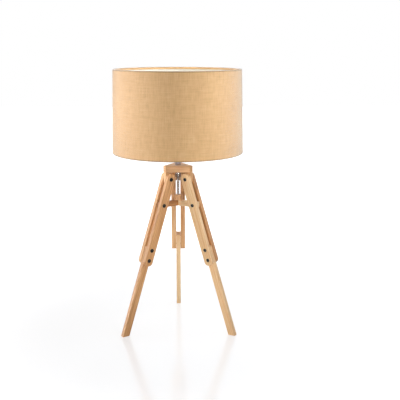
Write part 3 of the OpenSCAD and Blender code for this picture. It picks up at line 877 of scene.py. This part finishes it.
class LAMP_OT_head(bpy.types.Operator):
    """Build the head block and the three tongues under it"""

    bl_idname = "lamp.head"
    bl_label = "Head"

    def execute(self, context):
        s = sizes()
        half = s.pole_t / 2
        corners = []
        for angle in LEG_ANGLES:
            for side in (-1, 1):
                x = s.head_r * math.cos(angle) - side * half * math.sin(angle)
                y = s.head_r * math.sin(angle) + side * half * math.cos(angle)
                corners.append((y, x))
        thick = HEAD_HIGH.z - HEAD_LOW.z
        shape = board(corners, thick, s.ease, limit=50)
        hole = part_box("stem_nipple")[1].x + s.hole_gap
        cutters = [(0, 0, [(hole, -MM), (hole, thick + MM)])]
        # The head block's tone, 0.60, is partly its own and partly painted light and shade for how light
        # falls on its front
        timber_piece("head_block", shape, flat_place(0, HEAD_LOW.z), 20, 0.60, cutters)

        low = HEAD_LOW.z - s.pivot_drop - s.tongue_end
        inner = s.head_r - s.tongue_w
        r = s.tongue_round
        outline = (
            [(s.head_r, HEAD_LOW.z), (inner, HEAD_LOW.z)]
            + arc(inner + r, low + r, r, 180, 270, 8) + arc(s.head_r - r, low + r, r, 270, 360, 8)
        )
        pin = s.screw_d / 2 + s.hole_gap
        steps = [(pin, -half - MM), (pin, half + MM)]
        cutters = [(s.pivot_r, HEAD_LOW.z - s.pivot_drop, steps)]
        # Each tongue's last number is its tone: partly its own, partly painted light and shade
        tongues = ((LEFT, "tongue_left", 0.35), (RIGHT, "tongue_right", 0.45), (REAR, "tongue_rear", 0.5))
        for number, (angle, node, tone) in enumerate(tongues, 21):
            shape = board(outline, s.pole_t, s.ease * 0.7, -half)
            timber_piece(node, shape, Matrix.Rotation(angle, 4, "Z"), number, tone, cutters)
        return {"FINISHED"}


class LAMP_OT_spreader(bpy.types.Operator):
    """Build the Y spreader's three mitred arms and the turned boss on them"""

    bl_idname = "lamp.spreader"
    bl_label = "Spreader"

    def execute(self, context):
        s = sizes()
        half = s.pole_t / 2
        mitre = half / math.tan(math.radians(60))
        boss_low, boss_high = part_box("spreader_boss")
        rear_low, rear_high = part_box("spreader_arm_rear")
        reach = rear_high.y
        outline = [(0, 0), (half, mitre), (half, reach), (-half, reach), (-half, mitre)]
        # Each arm's last number is its tone: partly its own, partly painted light and shade; the left arm is
        # darkened as if in shade, the right arm paled as if lit
        arms = (
            (LEFT, "spreader_arm_left", 1.05), (RIGHT, "spreader_arm_right", 0.05),
            (REAR, "spreader_arm_rear", 0.7),
        )
        for number, (angle, node, tone) in enumerate(arms, 30):
            shape = board(outline, s.arm_h, s.ease * 0.7)
            timber_piece(node, shape, flat_place(angle, rear_low.z), number, tone)

        r, high = boss_high.x, boss_high.z - boss_low.z
        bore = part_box("tie_rod")[1].x + s.hole_gap
        corner, chamfer = 1.2 * MM, 0.4 * MM
        profile = rounded([
            (bore, 0, 0), (r, 0, 0), (r, high), (bore + chamfer, high, 0), (bore, high - chamfer, 0),
        ], corner)
        place = Matrix.Translation((0, 0, boss_low.z))
        # The boss's tone, 0.5, is partly its own and partly painted light and shade
        timber_piece("spreader_boss", lathe(profile, 64), place, 34, 0.5, made="turned")
        return {"FINISHED"}


class LAMP_OT_fasteners(bpy.types.Operator):
    """Build the socket screws and the sleeve nuts, one to each screw place"""

    bl_idname = "lamp.fasteners"
    bl_label = "Screws and nuts"

    def execute(self, context):
        s = sizes()
        face = cheek_gap() / 2 + s.cheek_t
        places = {
            "Spreader drop": s.spreader_drop, "Clamp drop": s.clamp_drop, "Clamp pitch": s.clamp_pitch,
            "Pivot radius": s.pivot_r, "Pivot height": HEAD_LOW.z - s.pivot_drop, "Splay": s.splay,
            "First leg": REAR, "Legs": 3,
        }
        screws = self.screw(face - s.head_sunk, -cheek_gap() / 2 - s.engage)
        repeat(screws, spread_tree(), {**places, "Material": bpy.data.materials["black_oxide"]})
        dress(
            screws, "stand", "black_steel", "black_oxide",
            "pivot_screws", "spreader_screws", "clamp_screws",
        )
        nuts = self.nut(-face + s.head_sunk, -cheek_gap() / 2 - s.side_gap)
        repeat(nuts, spread_tree(), {**places, "Material": bpy.data.materials["black_nickel"]})
        dress(
            nuts, "stand", "black_steel", "black_nickel",
            "pivot_sleeve_nuts", "spreader_sleeve_nuts", "clamp_sleeve_nuts",
        )
        return {"FINISHED"}

    def screw(self, top, tip):
        """Flush cheese head with a hexagon socket, along Y, facing +Y."""
        s = sizes()
        r, rim = s.head_d / 2, 0.35 * MM
        socket_deep, lip, mouth = 1.8 * MM, 0.15 * MM, 0.5 * MM
        under = top - s.head_t + s.head_sunk
        return self.stack("socket_screws", [
            (top - socket_deep, 0), (top - lip, 0), (top, s.hex_af / 2 + mouth), (top, r - rim),
            (top - rim * 0.35, r - rim * 0.3), (top - rim, r), (under, r), (under, s.screw_d / 2),
            (tip, s.screw_d / 2),
        ])

    def nut(self, top, tip):
        """Flush slotted head on a sleeve, along Y, facing -Y."""
        s = sizes()
        r, rim, bore = s.nut_d / 2, 0.35 * MM, s.screw_d / 2 + s.hole_gap
        bore_end = -cheek_gap() / 2 - s.engage - 0.3 * MM
        under = top + s.head_t - s.head_sunk
        item = self.stack("sleeve_nuts", [
            (top, r - rim), (top + rim * 0.35, r - rim * 0.3), (top + rim, r), (under, r),
            (under, s.sleeve_d / 2), (tip, s.sleeve_d / 2), (tip, bore), (bore_end, bore),
        ])
        slot_w, slot_deep = 1.2 * MM, MM
        slot = bmesh.new()
        bmesh.ops.create_cube(slot, size=1)
        bmesh.ops.scale(slot, verts=slot.verts, vec=(3 * r, 2 * slot_deep, slot_w))
        bmesh.ops.translate(slot, verts=slot.verts, vec=(0, top, 0))
        subtract(item, slot)
        crisp(item.data)
        return item

    def stack(self, name, stations):
        """A fastener from its section along Y, as (y, radius). Radius 0 stands for the hexagon."""
        s = sizes()
        sides = 24
        shape = bmesh.new()
        rings = []
        for y, radius in stations:
            ring = []
            for i in range(sides):
                a = 2 * math.pi * i / sides
                reach = radius or s.hex_af / 2 / math.cos((a + math.pi / 6) % (math.pi / 3) - math.pi / 6)
                ring.append(shape.verts.new((reach * math.cos(a), y, reach * math.sin(a))))
            rings.append(ring)
        join_rings(shape, rings)
        return crisp_object(name, shape)


class LAMP_OT_stem(bpy.types.Operator):
    """Build the tie rod, its nut and washer, and the chrome collar"""

    bl_idname = "lamp.stem"
    bl_label = "Stem"

    def execute(self, context):
        gap = sizes().hole_gap
        rod_low, rod_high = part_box("tie_rod")
        nut_low, nut_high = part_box("coupling_nut")
        pad_low, pad_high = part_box("head_washer")
        tube_low, tube_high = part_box("stem_collar")
        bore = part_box("stem_nipple")[1].x + gap

        chamfer = MM / 2
        rod = [(0, rod_low.z), (rod_high.x - chamfer, rod_low.z), (rod_high.x, rod_low.z + chamfer),
               (rod_high.x, rod_high.z), (0, rod_high.z)]
        self.turn("tie_rod_bar", rod, "tie_rod", "zinc_steel", "bright_zinc")

        middle = (nut_low.z + nut_high.z) / 2
        nut = rounded(
            [(rod_high.x + gap, nut_low.z), (nut_high.x, nut_low.z), (nut_high.x, nut_high.z),
             (bore, nut_high.z), (bore, middle, 0), (rod_high.x + gap, middle, 0)],
            0.7 * MM,
        )
        self.turn("coupling_nut_turned", nut, "coupling_nut", "zinc_steel", "bright_zinc", knurl=True)

        pad = rounded(ring_section(bore, pad_high.x, pad_low.z, pad_high.z), 0.3 * MM)
        self.turn("head_washer_disc", pad, "head_washer", "zinc_steel", "bright_zinc")

        tube = rounded(ring_section(bore, tube_high.x, tube_low.z, tube_high.z), 0.5 * MM)
        self.turn("stem_collar_tube", tube, "stem_collar", "chrome", "chrome_plate")
        paint(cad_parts["stem_nipple"], "bright_zinc")
        return {"FINISHED"}

    def turn(self, name, profile, node, slot, finish, knurl=False):
        """One turned piece, with straight knurling on its outer face if knurl is set."""
        outer = max(r for r, z in profile)
        ribs, depth, band = 40, 0.15 * MM, 0.1 * MM

        def swell(angle, r, z):
            return r - depth * (0.5 + 0.5 * math.cos(ribs * angle)) if r > outer - band else r

        shape = lathe(profile, 4 * ribs, swell) if knurl else lathe(profile, 64)
        dress(crisp_object(name, shape), "stand", slot, finish, node)


class LAMP_OT_holder(bpy.types.Operator):
    """Finish the lampholder: cap, gland, skirt, insert, shell and contacts"""

    bl_idname = "lamp.holder"
    bl_label = "Lampholder"

    def execute(self, context):
        finishes = {
            "holder_cap": "thermoset", "cord_gland": "thermoset", "holder_skirt": "thermoset",
            "socket_insert": "porcelain", "socket_shell": "nickelled_brass",
            "centre_contact": "nickelled_brass", "terminal_screws": "nickelled_brass",
        }
        for node, finish in finishes.items():
            paint(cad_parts[node], finish)
        return {"FINISHED"}


class LAMP_OT_ring(bpy.types.Operator):
    """Build the threaded ring that clamps the shade"""

    bl_idname = "lamp.ring"
    bl_label = "Shade ring"

    def execute(self, context):
        s = sizes()
        low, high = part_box("shade_ring")
        thread_r, clear = 19.75 * MM, 0.35 * MM
        outer, notch, band = 28.5 * MM, 0.8 * MM, 1.2 * MM

        def grip(angle, r, z):
            """Notches on the outer face."""
            if r < outer - band:
                return r
            return r - notch * max(0.0, math.cos(s.grips * angle)) ** 3

        profile = rounded(ring_section(thread_r + clear, outer, low.z, high.z), 0.9 * MM, 4)
        item = crisp_object("shade_ring_moulded", lathe(profile, s.grips * 12, grip))
        dress(item, "shade_ring", "black_plastic", "thermoset", "shade_ring")
        return {"FINISHED"}


class LAMP_OT_fitter(bpy.types.Operator):
    """Build the shade's collar and its three spokes, and finish its wire rings"""

    bl_idname = "lamp.fitter"
    bl_label = "Shade fitter"

    def execute(self, context):
        bore = 21.2 * MM
        collar = rounded(ring_section(bore, COLLAR_HIGH.x, COLLAR_LOW.z, COLLAR_HIGH.z), 0.6 * MM)
        disc = crisp_object("fitter_collar_disc", lathe(collar))
        dress(disc, "shade", "white_enamel", "powder_coat", "fitter_collar")

        # Each spoke runs from the collar's rim to the lower wire ring, and meets it above its middle
        wire_r = (WIRE_HIGH.z - WIRE_LOW.z) / 2
        ring_r = WIRE_HIGH.x - wire_r
        above = 0.5 * MM
        start = Vector((COLLAR_HIGH.x - wire_r, 0, (COLLAR_LOW.z + COLLAR_HIGH.z) / 2))
        end = Vector((ring_r - wire_r * 0.9, 0, (WIRE_LOW.z + WIRE_HIGH.z) / 2 + above))
        spoke = self.wire(start, end, wire_r)
        enamel = bpy.data.materials["powder_coat"]
        repeat(spoke, turn_tree(), {"Copies": 3, "First angle": REAR, "Material": enamel})
        dress(spoke, "shade", "white_enamel", "powder_coat", "fitter_spokes")
        for node in ("shade_bottom_ring", "shade_top_ring"):
            paint(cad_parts[node], "powder_coat")
        return {"FINISHED"}

    def wire(self, start, end, r):
        """One spoke, thickened a little by its weld at each end."""
        axis = (end - start).normalized()
        side = Vector((0, 1, 0))
        up = axis.cross(side)
        sides = 20
        # Places along the spoke in millimetres, each with its share of the wire's radius
        run = (end - start).length / MM
        stations = [(0, 0.6), (0.2, 1.12), (1.2, 1.1), (3, 1.0),
                    (run - 3, 1.0), (run - 1.2, 1.1), (run - 0.2, 1.1), (run, 0.6)]
        shape = bmesh.new()
        rings = []
        for along, swell in stations:
            centre = start + axis * along * MM
            ring = []
            for i in range(sides):
                a = 2 * math.pi * i / sides
                ring.append(shape.verts.new(centre + (side * math.cos(a) + up * math.sin(a)) * r * swell))
            rings.append(ring)
        join_rings(shape, rings)
        return crisp_object("fitter_spoke_wires", shape, 50)


class LAMP_OT_shade(bpy.types.Operator):
    """Build the fabric drum with its folded hems and lap seam, and the liner behind it"""

    bl_idname = "lamp.shade"
    bl_label = "Shade"

    def execute(self, context):
        s = sizes()
        path = self.section()
        outer = FABRIC_HIGH.x - s.fabric_t / 2
        fabric = self.drum(path, s.fabric_t, outer)
        dress(fabric, "shade", "linen", "woven_linen", "shade_fabric")
        run = sum((Vector(a) - Vector(b)).length for a, b in zip(path, path[1:]))

        liner_low, liner_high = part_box("shade_liner")
        face = s.fabric_t + s.glue_t
        back = face + s.liner_t
        corners = [(face, liner_high.z), (back, liner_high.z), (back, liner_low.z), (face, liner_low.z)]
        profile = [(shade_r(z) - depth, z) for depth, z in corners]
        liner = crisp_object("shade_liner_board", lathe(profile, 192))
        dress(liner, "shade", "liner", "lampshade_board", "shade_liner")
        return {"FINISHED"}

    def section(self):
        """Middle line of the cloth: the lower hem, the bottom fold, the wall, the top fold and its hem."""
        s = sizes()
        half = s.fabric_t / 2
        wire = (WIRE_HIGH.z - WIRE_LOW.z) / 2
        corner = 0.8 * MM

        def fold(ring_low, ring_high, hem_z, edge_z, way):
            """way is -1 at the bottom and 1 at the top. The points run from the hem to the wall."""
            centre_z = (ring_low.z + ring_high.z) / 2
            centre_r = ring_high.x - wire
            round_wire = [
                (centre_r - (wire + half) * math.cos(a), centre_z + way * (wire + half) * math.sin(a))
                for a in (math.radians(90) * i / 6 for i in range(7))
            ]
            wall = shade_r(edge_z) - half
            round_corner = [
                (wall - corner + corner * math.sin(a), edge_z - way * (corner - corner * math.cos(a)))
                for a in (math.radians(90) * i / 4 for i in range(5))
            ]
            return [(round_wire[0][0], hem_z)] + round_wire + round_corner

        low, high = FABRIC_LOW.z + half, FABRIC_HIGH.z - half
        bottom = fold(WIRE_LOW, WIRE_HIGH, FABRIC_LOW.z + s.hem_h, low, -1)
        top = fold(TOP_WIRE_LOW, TOP_WIRE_HIGH, FABRIC_HIGH.z - s.hem_h, high, 1)
        # Rows lie close together beside the folds, where painted shade darkens the cloth
        near = [corner + d * MM for d in (0.7, 1.5, 2.5, 4, 7)]
        heights = [low + d for d in near] + [low + (high - low) * i / 24 for i in range(2, 23)]
        heights += [high - d for d in reversed(near)]
        wall = [(shade_r(z) - half, z) for z in heights]
        return bottom + wall + top[::-1]

    def drum(self, path, thick, outer):
        """Sweeps the cloth's section round the axis, with a lap at the back, and maps it in metres."""
        s = sizes()
        points = [Vector(p) for p in path]
        normals = []
        for i, p in enumerate(points):
            along = points[min(i + 1, len(points) - 1)] - points[max(i - 1, 0)]
            normals.append(Vector((along.y, -along.x)).normalized())
        lengths = [0.0]
        for a, b in zip(points, points[1:]):
            lengths.append(lengths[-1] + (b - a).length)
        # The lap down the back stands 0.8 of a thickness proud, with its edges pressed flat
        lap = s.lap_w / outer
        edge = 0.25 * MM / outer
        lap_rise = 0.8
        # The cloth's surface wanders a little, and painted shade darkens it beside the folds
        ripple, shadow = 0.12 * MM, 3.3 * MM
        columns = 240
        start = REAR + lap / 2
        end = start + 2 * math.pi
        angles = [start + (2 * math.pi - lap) * i / columns for i in range(columns + 1)]
        angles += [angles[-1] + edge] + [angles[-1] + lap * k / 4 for k in (1, 2, 3)] + [end - edge]
        shape = bmesh.new()
        # A layer for the painted shade beside the folds, fading out over shadow's height
        folded = shape.verts.layers.float.new("fold")
        rings = []
        for angle in angles:
            in_lap = end - lap + edge / 2 < angle < end - edge / 2
            ring = []
            for way, order in ((0.5, range(len(points))), (-0.5, reversed(range(len(points))))):
                for i in order:
                    p = points[i] + normals[i] * thick * way
                    on_wall = way > 0 and points[i].x > shade_r(points[i].y) - thick
                    r = p.x + (thick * lap_rise if in_lap and on_wall else 0)
                    if on_wall:
                        uneven = noise.noise(Vector((math.cos(angle) * 9, math.sin(angle) * 9, p.y * 45)))
                        r -= ripple * max(0.0, uneven)
                    vertex = shape.verts.new((r * math.cos(angle), r * math.sin(angle), p.y))
                    beside = min(FABRIC_HIGH.z - p.y, p.y - FABRIC_LOW.z)
                    vertex[folded] = max(0.0, 1 - beside / shadow) if on_wall else 0.0
                    ring.append(vertex)
            rings.append(ring)
        cloth = shape.loops.layers.uv.new("cloth")
        heights = lengths + lengths[::-1]
        count = len(rings)
        for i in range(count):
            j = (i + 1) % count
            u0 = (angles[i] - start) * outer
            u1 = (angles[j] - start) * outer if j else 2 * math.pi * outer
            for k in range(len(heights)):
                m = (k + 1) % len(heights)
                face = shape.faces.new([rings[i][k], rings[j][k], rings[j][m], rings[i][m]])
                corners = (u0, heights[k]), (u1, heights[k]), (u1, heights[m]), (u0, heights[m])
                for loop, uv in zip(face.loops, corners):
                    loop[cloth].uv = uv
        return crisp_object("shade_fabric_drum", shape, 60)


class LAMP_OT_stage(bpy.types.Operator):
    """Make the pale floor, the soft lights, the white surroundings and the camera"""

    bl_idname = "lamp.stage"
    bl_label = "Stage"

    def execute(self, context):
        self.camera(context)
        self.floor()
        self.surroundings(context)
        self.lights()
        context.scene.view_settings.view_transform = "Standard"
        return {"FINISHED"}

    def lights(self):
        """Soft boxes: each has its place, what it faces, its size, watts, beam in degrees and colour."""
        self.light("left box", (-1.10, 0.05, 0.53), (-0.05, 0, 0.55), (0.45, 0.45), 0.88, 30)
        self.light("low left box", (-1.30, 0.15, 0.16), (0, 0, 0.05), (0.5, 0.3), 0.25, 17)
        daylight = (0.92, 1.0, 1.10)
        self.light("right box", (0.62, -0.02, 1.00), (0.10, 0, 0.50), (0.40, 0.40), 2.0, 180, daylight)
        self.light("high box", (0.80, -0.80, 1.15), (0, 0, 0.45), (0.6, 0.6), 2.2, 180, daylight)
        self.light("shade box", (0.70, -0.80, 0.80), (0.05, 0, 0.52), (0.40, 0.40), 0.34, 34, daylight)
        self.light("leg box", (-0.30, -1.90, 0.20), (0, 0, 0.17), (0.6, 0.3), 0.32, 18)
        back = self.light("back box", (0.30, 1.70, 0.90), (0, 0, 0.30), (1.2, 1.0), 12.0)
        # It may not mirror in the table
        back.visible_glossy = False
        # Both stand for the light that the cloth lets through: onto the head block and inside the liner
        inner = self.light("shade glow", (0, -0.075, 0.455), (0, 0, 0.39), (0.10, 0.02), 0.018)
        data = bpy.data.lights.new("liner glow", "POINT")
        data.energy, data.shadow_soft_size = 0.25, 0.03
        liner = new_object("liner glow", data)
        liner.location = (0, 0, (FABRIC_LOW.z + FABRIC_HIGH.z) / 2)
        for item in (inner, liner):
            item.visible_camera = item.visible_glossy = False

    def camera(self, context):
        """Stands 1.6 m in front and looks 10.6 degrees down, turned a little to the right."""
        data = bpy.data.cameras.new("camera")
        data.sensor_width = 36
        data.lens = 63.9
        data.shift_y = -0.06
        item = new_object("camera", data)
        item.location = (0, -1.626, 0.666)
        item.rotation_euler = (math.radians(90 - 10.56), 0, math.radians(-1.80))
        context.scene.camera = item

    def floor(self):
        """A white table top that runs out of sight."""
        half = 6
        corners = [(-half, -half, 0), (half, -half, 0), (half, half, 0), (-half, half, 0)]
        mesh = bpy.data.meshes.new("floor")
        mesh.from_pydata(corners, [], [(0, 1, 2, 3)])
        item = new_object("floor", mesh)
        tree, surface = start_material("white_table")
        paint(item, "white_table")
        feed(tree, surface, {"Base Color": (0.8, 0.8, 0.8, 1), "Roughness": 0.6})
        output = next(n for n in tree.nodes if n.type == "OUTPUT_MATERIAL")

        # What the camera sees: mostly its own white, with a share of light so that shadows show
        place = add(tree, "ShaderNodeTexCoord").outputs["Object"]
        away = add(tree, "ShaderNodeVectorMath", {0: place}, operation="LENGTH").outputs["Value"]
        glow = add(
            tree, "ShaderNodeMapRange",
            {"Value": away, "From Min": 0.25, "From Max": 0.9, "To Min": 0.60, "To Max": 1.0},
            interpolation_type="SMOOTHSTEP",
        ).outputs["Result"]
        own = add(tree, "ShaderNodeEmission", {"Color": (1, 1, 1, 1), "Strength": glow}).outputs["Emission"]
        lit = add(tree, "ShaderNodeBsdfDiffuse", {"Color": (0.34, 0.34, 0.35, 1)}).outputs["BSDF"]
        shine = add(
            tree, "ShaderNodeBsdfAnisotropic", {"Color": (0.17, 0.17, 0.17, 1), "Roughness": 0.16},
        ).outputs["BSDF"]
        seen = add(tree, "ShaderNodeAddShader", {0: own, 1: lit}).outputs["Shader"]
        seen = add(tree, "ShaderNodeAddShader", {0: seen, 1: shine}).outputs["Shader"]
        path = add(tree, "ShaderNodeLightPath").outputs
        mixed = add(
            tree, "ShaderNodeMixShader", {"Fac": path["Is Camera Ray"], 1: surface.outputs["BSDF"], 2: seen},
        ).outputs["Shader"]
        feed(tree, output, {"Surface": mixed})

    def surroundings(self, context):
        """A room that looks white, also in reflections, but lights the lamp with less."""
        world = bpy.data.worlds.new("white_room")
        context.scene.world = world
        world.use_nodes = True
        tree = world.node_tree
        tree.nodes.clear()
        path = add(tree, "ShaderNodeLightPath").outputs
        shown = calc(tree, "MAXIMUM", path["Is Camera Ray"], path["Is Glossy Ray"])
        shown = calc(tree, "MAXIMUM", shown, path["Is Transmission Ray"])

        def white(strength):
            item = add(tree, "ShaderNodeBackground", {"Color": (1, 1, 1, 1), "Strength": strength})
            return item.outputs["Background"]

        both = add(tree, "ShaderNodeMixShader", {"Fac": shown, 1: white(0.30), 2: white(1.0)})
        add(tree, "ShaderNodeOutputWorld", {"Surface": both.outputs["Shader"]})

    def light(self, name, place, target, spread, power, beam=180, tint=(1, 1, 1)):
        """A soft box. beam is its whole angle in degrees, narrowed by a grid where it is below 180."""
        data = bpy.data.lights.new(name, "AREA")
        data.color = tint
        data.shape = "RECTANGLE"
        data.size, data.size_y = spread
        data.energy = power
        data.spread = math.radians(beam)
        item = new_object(name, data)
        item.location = place
        item.rotation_euler = (Vector(target) - Vector(place)).to_track_quat("-Z", "Y").to_euler()
        return item


class LAMP_PT_panel(bpy.types.Panel):
    """Lists the steps that build the lamp"""

    bl_idname = "LAMP_PT_panel"
    bl_label = "Tripod Table Lamp"
    bl_space_type = "VIEW_3D"
    bl_region_type = "UI"
    bl_category = "Lamp"

    def draw(self, context):
        for step in STEPS:
            self.layout.operator(step.bl_idname)
        self.layout.prop(context.scene.lamp_sizes, "ease")
        self.layout.prop(context.scene.lamp_colours, "linen_mid")


STEPS = (
    LAMP_OT_materials, LAMP_OT_stage, LAMP_OT_cheeks, LAMP_OT_poles, LAMP_OT_head, LAMP_OT_spreader,
    LAMP_OT_fasteners, LAMP_OT_stem, LAMP_OT_holder, LAMP_OT_ring, LAMP_OT_fitter, LAMP_OT_shade,
)
CLASSES = (LampSizes, LampColours, *STEPS, LAMP_PT_panel)


def register():
    for item in CLASSES:
        bpy.utils.register_class(item)
    bpy.types.Scene.lamp_sizes = PointerProperty(type=LampSizes)
    bpy.types.Scene.lamp_colours = PointerProperty(type=LampColours)


def unregister():
    del bpy.types.Scene.lamp_colours
    del bpy.types.Scene.lamp_sizes
    for item in reversed(CLASSES):
        bpy.utils.unregister_class(item)


def main():
    register()
    for step in STEPS:
        group, name = step.bl_idname.split(".")
        getattr(getattr(bpy.ops, group), name)()


if __name__ == "__main__":
    main()
